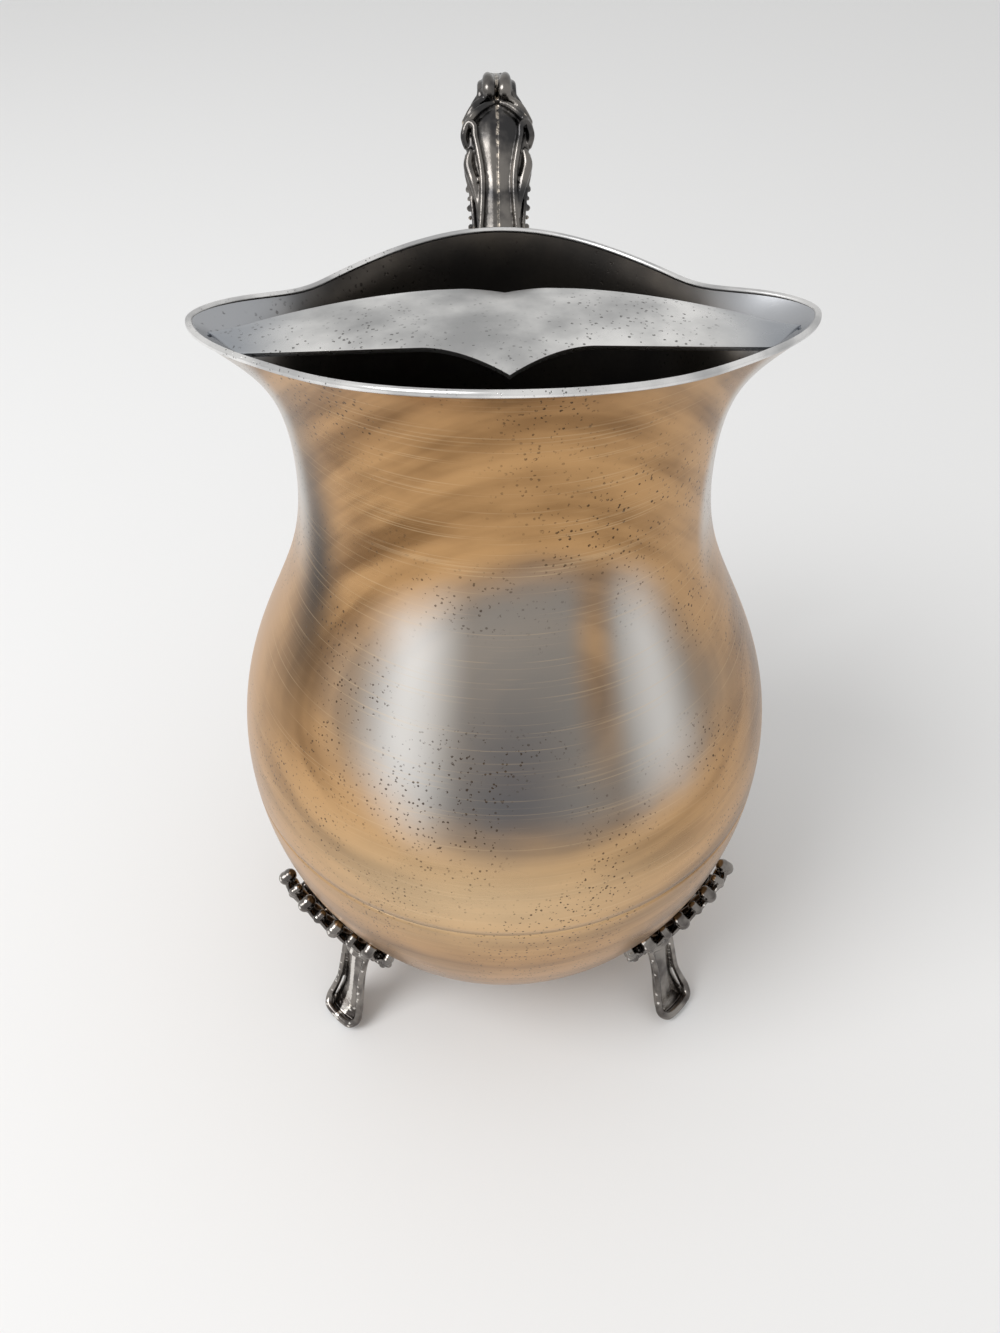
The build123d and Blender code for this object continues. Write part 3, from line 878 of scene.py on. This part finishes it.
def bodyMetal():
    look = bodyLook
    material, tree, shader, place = newMetal("goldenPlateAndReflection")
    azimuth, height = bodyPlaces(tree, place)
    cloud = noise(tree, place, look["cloudScale"], 6.0)
    turned = calc(tree, "ABSOLUTE", azimuth)  # the same at both ends, so nothing breaks off behind
    lean = times(tree, turned, look["ringLean"])
    rings = put(tree, "ShaderNodeCombineXYZ", {0: lean, 2: height}).outputs[0]
    bands = noise(tree, rings, look["ringScale"], 3.0)
    # everything follows arches round the satin patch, which is partly a painted reflection and is widest low
    # down
    lift = minus(tree, height, look["patchHeight"])
    broad = minus(tree, look["patchWidth"], times(tree, lift, look["patchTaper"]))
    wide = calc(tree, "DIVIDE", minus(tree, azimuth, look["patchAzimuth"]), broad)
    tall = calc(tree, "DIVIDE", lift, look["patchRise"])
    reach = calc(tree, "SQRT", plus(tree, times(tree, wide, wide), times(tree, tall, tall)))
    drift = times(tree, azimuth, look["archTurn"])
    ripple = put(tree, "ShaderNodeCombineXYZ", {0: reach, 1: drift}).outputs[0]
    front = between(tree, turned, *look["archFade"])
    arches = times(tree, minus(tree, noise(tree, ripple, look["archScale"], 3.0), cloud), front)
    arches = plus(tree, arches, cloud)
    # the golden tone: partly the plate's own colour, partly a painted reflection of a wooden table
    cloudShare, archShare, bandShare = look["toneShares"]
    tone = plus(tree, times(tree, cloud, cloudShare), times(tree, arches, archShare))
    tone = plus(tree, tone, times(tree, bands, bandShare))
    colour = blend(tree, between(tree, tone, *look["toneRange"]), look["goldDark"], look["goldLight"])
    # a painted reflection of a wooden table: pale gold low on the belly, towards the front
    low = times(tree, hump(tree, height, *look["tableReflectionHeight"]), hump(tree, azimuth, *look["tableReflectionAzimuth"]))
    colour = blend(tree, times(tree, low, look["tableReflectionShare"]), colour, look["goldPale"])
    # the satin patch: grey, partly a painted reflection, with two painted highlights as pale streaks, a
    # painted dark reflection in its middle and a golden parting
    reach = plus(tree, reach, times(tree, minus(tree, cloud, 0.5), look["patchFray"]))
    patch = between(tree, reach, *look["patchEdge"])
    parting = times(tree, hump(tree, azimuth, *look["partingAzimuth"]),
                    hump(tree, height, *look["partingHeight"]))
    patch = times(tree, patch, minus(tree, 1.0, times(tree, parting, look["partingShare"])))
    # painted highlights: two pale streaks in the patch
    highlight = times(tree, hump(tree, azimuth, *look["highlightRight"]), look["highlightRightShare"])
    highlight = calc(tree, "MAXIMUM", hump(tree, azimuth, *look["highlightLeft"]), highlight)
    # a painted dark reflection in the middle of the patch
    dark = times(tree, hump(tree, azimuth, *look["darkReflectionAzimuth"]), hump(tree, height, *look["darkReflectionHeight"]))
    grey = blend(tree, highlight, look["greyMid"], look["highlightPale"])
    grey = blend(tree, dark, grey, look["greyDark"])
    colour = blend(tree, times(tree, patch, look["patchShare"]), colour, grey)
    # painted reflections: pale silver at both sides of the neck, and the dark streak at the left
    flank = times(tree, between(tree, turned, *look["flankFront"]), between(tree, turned, *look["flankBack"]))
    flank = times(tree, flank, between(tree, height, *look["flankHeight"]))
    colour = blend(tree, times(tree, flank, look["flankShare"]), colour, look["neckSheen"])
    # a painted dark reflection: the streak at the left, broken up by the tone
    side = times(tree, hump(tree, azimuth, *look["streakReflectionAzimuth"]), hump(tree, height, *look["streakReflectionHeight"]))
    side = times(tree, side, between(tree, tone, *look["streakReflectionTone"]))
    colour = blend(tree, side, colour, look["streakReflection"])
    # pits, scratches and the roughness
    pits = filled(tree, "pits", {"Place": place, "Scale": look["pitScale"], "Size": look["pitSize"]})
    colour = blend(tree, times(tree, pits, look["pitShare"]), colour, look["pit"])
    lines = filled(tree, "scratches", {"Place": rings, "Stretch": look["scratchStretch"]})
    colour = blend(tree, times(tree, lines, look["scratchShare"]), colour, look["goldPale"])
    rough = plus(tree, times(tree, cloud, look["cloudRough"]), times(tree, lines, look["scratchRough"]))
    rough = plus(tree, rough, plus(tree, times(tree, patch, look["patchRough"]), look["rough"]))
    depth = minus(tree, times(tree, lines, look["scratchDepth"]), pits)
    finish(tree, shader, colour, rough, depth, look["bumpDepth"])
    return material


silverLooks = {
    # the inside: tarnish and painted shade, near black down the walls
    "tarnishedShadedInside": {
        "dark": (0.06, 0.056, 0.053, 1), "light": (0.25, 0.22, 0.19, 1), "flare": (0.44, 0.45, 0.47, 1),
        "cloudScale": 26.0, "rough": 0.3, "pitScale": 600.0},
    # the guard: its flare tone is painted shade on the guard's ends
    "wornSilver": {
        "dark": (0.40, 0.40, 0.40, 1), "light": (0.92, 0.91, 0.89, 1), "flare": (0.36, 0.38, 0.41, 1),
        "cloudScale": 38.0, "rough": 0.24, "pitScale": 760.0},
    "rubbedSilver": {
        "dark": (0.50, 0.50, 0.50, 1), "light": (0.88, 0.87, 0.86, 1), "flare": None,
        "cloudScale": 60.0, "rough": 0.2, "pitScale": 1400.0},
}
silverShared = {
    "cloud": {"Low": 0.34, "High": 0.66}, "flareSide": (0.038, 0.056), "flareHeight": (0.200, 0.210),
    "pitSize": 0.26, "pitShare": 0.75, "pit": (0.04, 0.035, 0.03, 1), "scratchStretch": 26.0,
    "cloudRough": 0.15, "scratchDepth": 0.15, "bumpDepth": 0.1,
}


def tintedMetal(name):
    # silver between a dark and a light tone, with clouds, pits and scratches
    look = {**silverShared, **silverLooks[name]}
    material, tree, shader, place = newMetal(name)
    cloud = filled(tree, "tarnish", {"Place": place, "Scale": look["cloudScale"], **look["cloud"]})
    colour = blend(tree, cloud, look["dark"], look["light"])
    if look["flare"]:  # on the inside the flared mouth is lighter and the walls below it carry painted shade; on the guard this paints the ends darker as shade
        axes = put(tree, "ShaderNodeSeparateXYZ", {0: place})
        wide = between(tree, calc(tree, "ABSOLUTE", axes.outputs["X"]), *look["flareSide"])
        wide = times(tree, wide, between(tree, axes.outputs["Z"], *look["flareHeight"]))
        colour = blend(tree, wide, colour, look["flare"])
    pits = filled(tree, "pits", {"Place": place, "Scale": look["pitScale"], "Size": look["pitSize"]})
    colour = blend(tree, times(tree, pits, look["pitShare"]), colour, look["pit"])
    lines = filled(tree, "scratches", {"Place": place, "Stretch": look["scratchStretch"]})
    uneven = plus(tree, times(tree, minus(tree, 1.0, cloud), look["cloudRough"]), look["rough"])
    depth = minus(tree, times(tree, lines, look["scratchDepth"]), pits)
    finish(tree, shader, colour, uneven, depth, look["bumpDepth"])
    return material


castLooks = {
    "pewterCast": {
        "recess": (0.012, 0.011, 0.011, 1), "dark": (0.05, 0.049, 0.05, 1), "light": (0.21, 0.195, 0.18, 1),
        "edge": (0.60, 0.53, 0.45, 1), "rough": 0.24},
    "silverCast": {
        "recess": (0.02, 0.016, 0.013, 1), "dark": (0.10, 0.09, 0.085, 1), "light": (0.28, 0.26, 0.24, 1),
        "edge": (0.80, 0.77, 0.73, 1), "rough": 0.17},
}
castShared = {
    "cloud": {"Scale": 140.0, "Low": 0.36, "High": 0.64}, "raised": {"Low": 0.42, "High": 0.505},
    "crest": {"Low": 0.53, "High": 0.62}, "seamWidth": 0.0006, "seamScale": 800.0, "seamBreaks": (0.46, 0.6),
    "grainScale": 700.0, "recessRough": 0.25, "seamRise": 2.0, "bumpDepth": 0.08,
}


def castMetal(name):
    # cast silver, black in its recesses and bright on its edges and on the solder of its seam
    look = {**castShared, **castLooks[name]}
    material, tree, shader, place = newMetal(name)
    cloud = filled(tree, "tarnish", {"Place": place, **look["cloud"]})
    colour = blend(tree, cloud, look["dark"], look["light"])
    raised = filled(tree, "edgeWear", look["raised"])
    colour = blend(tree, raised, look["recess"], colour)
    crest = filled(tree, "edgeWear", look["crest"])
    colour = blend(tree, crest, colour, look["edge"])
    axes = put(tree, "ShaderNodeSeparateXYZ", {0: place})
    seam = hump(tree, axes.outputs["X"], 0.0, look["seamWidth"])
    breaks = noise(tree, place, look["seamScale"], 2.0)
    seam = times(tree, seam, between(tree, breaks, *look["seamBreaks"]))
    colour = blend(tree, seam, colour, look["edge"])
    uneven = plus(tree, times(tree, minus(tree, 1.0, raised), look["recessRough"]), look["rough"])
    depth = plus(tree, noise(tree, place, look["grainScale"], 4.0), times(tree, seam, look["seamRise"]))
    finish(tree, shader, colour, uneven, depth, look["bumpDepth"])
    return material


golden = bodyMetal()
insideDark, guardSilver, rimSilver = [tintedMetal(name) for name in silverLooks]
handleSilver, footSilver = [castMetal(name) for name in castLooks]
print("materials made")


def linedInside(piece):
    # the inner faces of the body get the second material
    for face in piece.data.polygons:
        x, y = face.center.x, face.center.y - axisY * mm
        outward = (x * face.normal.x + y * face.normal.y) / max(hypot(x, y), 1e-6)
        face.material_index = 1 if outward < face.normal.z else 0


settle(bodyUpper, [golden, insideDark], ["body_upper"])
settle(bowlLower, [golden, insideDark], ["bowl_lower"])
for shell in (bodyUpper, bowlLower):
    linedInside(shell)
settle(guardPlate, [guardSilver], ["ice_guard"])
rimBead = makeRim(rimSilver)
settle(rimBead, [rimSilver], ["rim_wire"])
settle(handleRight, [handleSilver], ["handle_half_right"])
settle(handleLeft, [handleSilver], ["handle_half_left"])
for node, foot in feet.items():
    settle(foot, [footSilver], [node])

# Camera: a wide lens close above the spout, looking down
cameraSizes = {
    "distance": 204.0, "height": 306.0, "focal": 980.0, "frameWidth": 1000.0, "frameHeight": 1333.0,
    "horizon": -298.0, "axisPixel": 504.5, "azimuth": -1.5, "sensor": 36.0, "nearest": 0.01,
}


def addCamera():
    c = cameraSizes
    data = bpy.data.cameras.new("photoCamera")
    camera = linked("photoCamera", data)
    turn, away = radians(c["azimuth"]), c["distance"]
    camera.location = Vector((away * sin(turn), axisY - away * cos(turn), c["height"])) * mm
    dip = atan2(c["frameHeight"] / 2 - c["horizon"], c["focal"])
    camera.rotation_euler = (pi / 2 - dip, 0, turn)
    data.sensor_width = c["sensor"]
    data.sensor_fit = "AUTO"
    data.lens = c["sensor"] * c["focal"] / c["frameHeight"]
    data.shift_x = (c["frameWidth"] / 2 - c["axisPixel"]) / c["frameHeight"]
    data.clip_start = c["nearest"]
    scene.camera = camera


studioLook = {
    "window": {"place": (-0.9, -0.5, 1.3), "size": 0.9, "power": 14, "aim": (0, 0, 0.1)},
    "floorSize": 6, "floorTone": (0.8, 0.8, 0.8, 1), "floorRough": 0.8,
    "skyTone": (0.93, 0.93, 0.925, 1), "skyStrength": 0.8,
}


def addLamp(name, place, size, power, aim):
    data = bpy.data.lights.new(name, "AREA")
    data.shape, data.size, data.energy = "DISK", size, power
    lamp = linked(name, data)
    lamp.location = place
    lamp.rotation_euler = (Vector(aim) - Vector(place)).to_track_quat("-Z", "Y").to_euler()


def addFloor():
    bpy.ops.mesh.primitive_plane_add(size=studioLook["floorSize"])
    floor = bpy.context.object
    floor.name = "floor"
    material = bpy.data.materials.new("paleFloor")
    material.use_nodes = True
    shader = material.node_tree.nodes["Principled BSDF"]
    shader.inputs["Base Color"].default_value = studioLook["floorTone"]
    shader.inputs["Roughness"].default_value = studioLook["floorRough"]
    floor.data.materials.append(material)


def addWorld():
    world = bpy.data.worlds.new("studio")
    scene.world = world
    world.use_nodes = True
    background = world.node_tree.nodes["Background"]
    background.inputs["Color"].default_value = studioLook["skyTone"]
    background.inputs["Strength"].default_value = studioLook["skyStrength"]


addCamera()
addFloor()
addLamp("window", **studioLook["window"])
addWorld()
scene.view_settings.view_transform = "Standard"
print("camera and light set")
